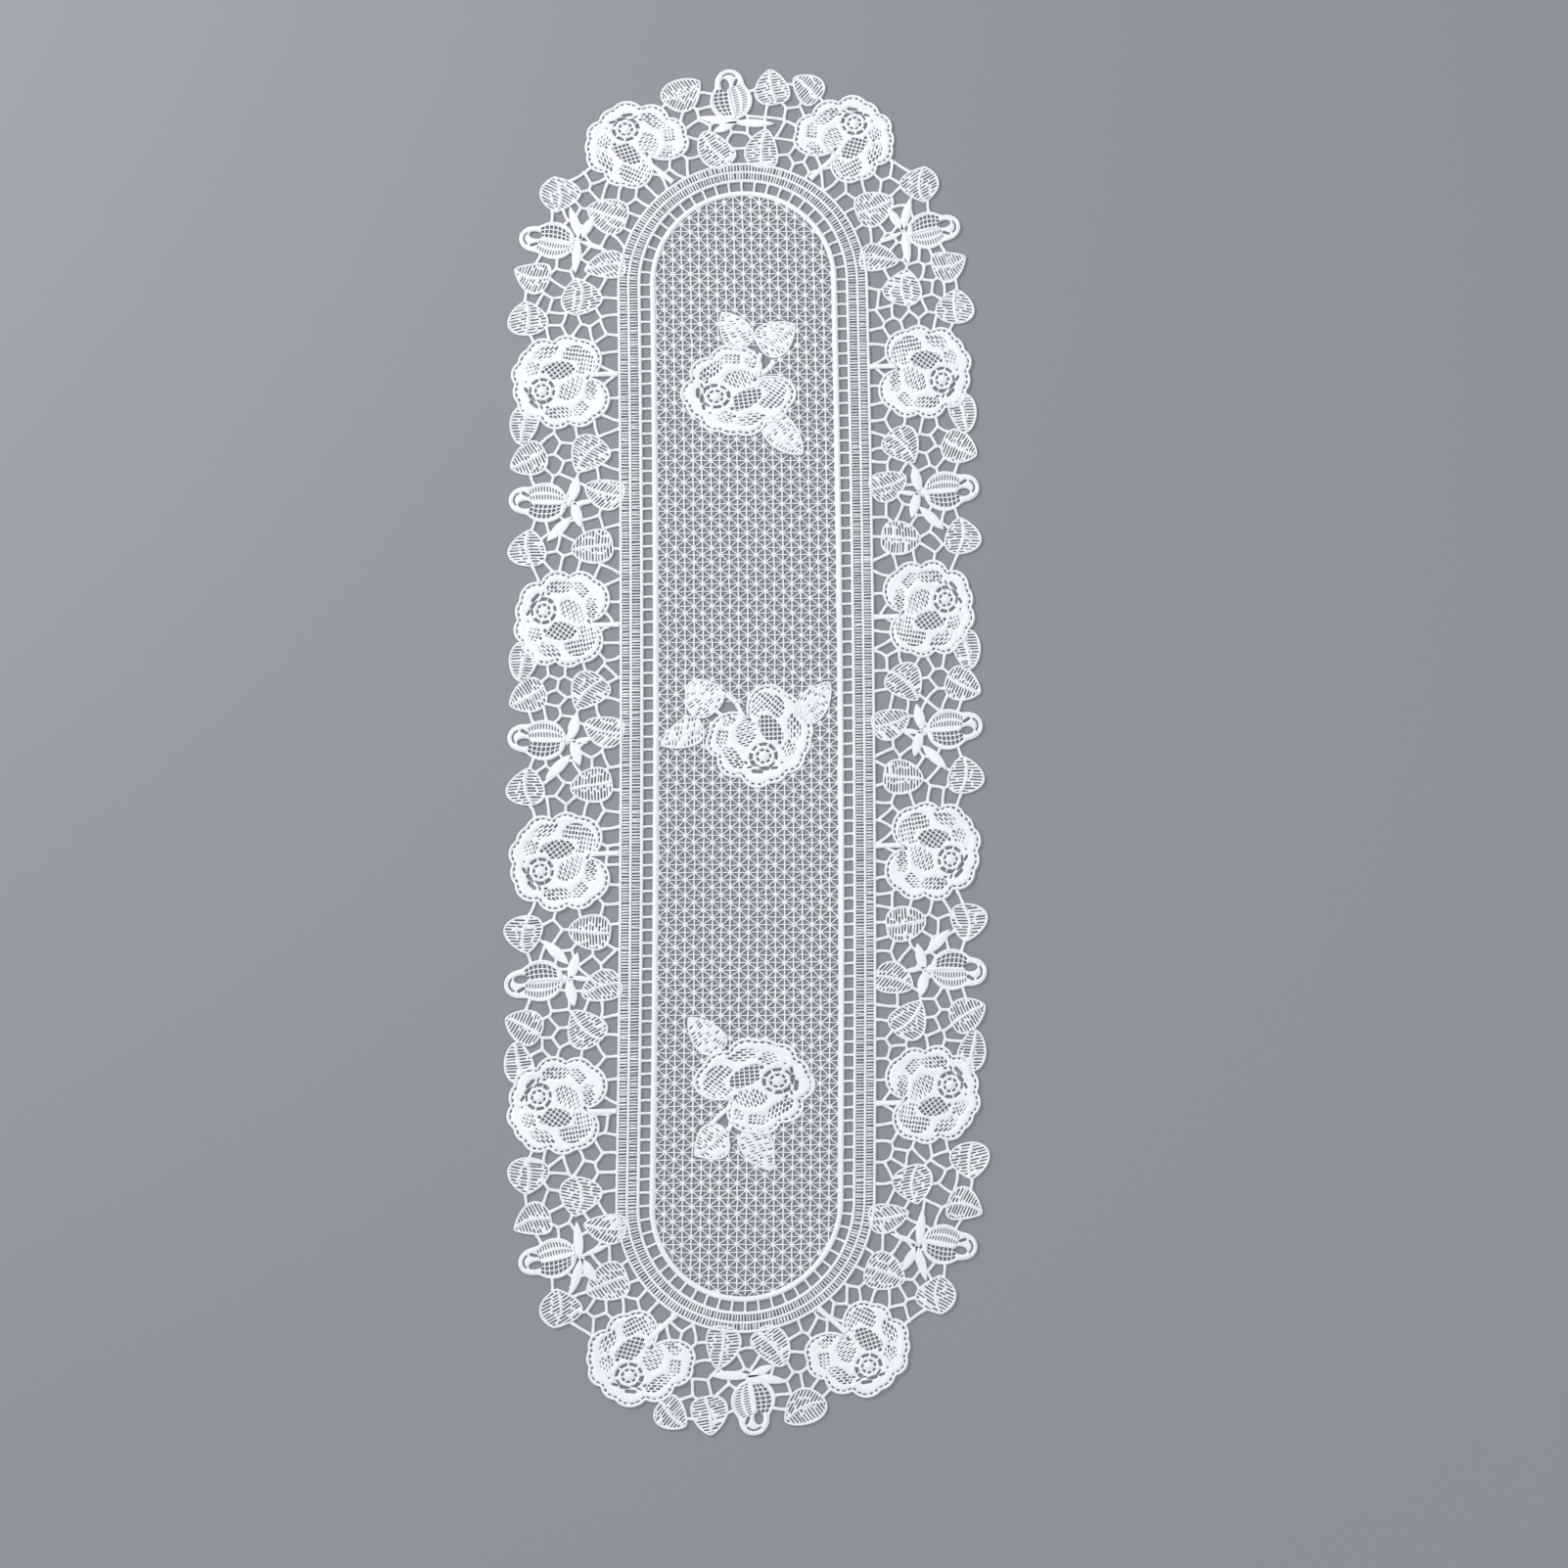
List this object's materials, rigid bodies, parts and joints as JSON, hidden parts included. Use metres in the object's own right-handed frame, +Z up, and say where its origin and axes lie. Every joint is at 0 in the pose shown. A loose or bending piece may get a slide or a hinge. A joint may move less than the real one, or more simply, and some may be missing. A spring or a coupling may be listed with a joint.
{
  "type": "lace table runner",
  "caption": "Long oval openwork lace table runner: a star net field inside a ladder band, with a scalloped border of raised roses, buds and leaves.",
  "frame": {"origin": "middle of the runner's outline, on its flat underside", "axes": "+X across the runner, +Y along its length, +Z up out of the raised face"},
  "size_m": [0.3208, 0.914, 0.0024],
  "materials": {
    "lace_thread": "white embroidery thread, matte with a faint sheen"
  },
  "bodies": {
    "root": {"lace_runner": "lace_thread"}
  },
  "joints": []
}
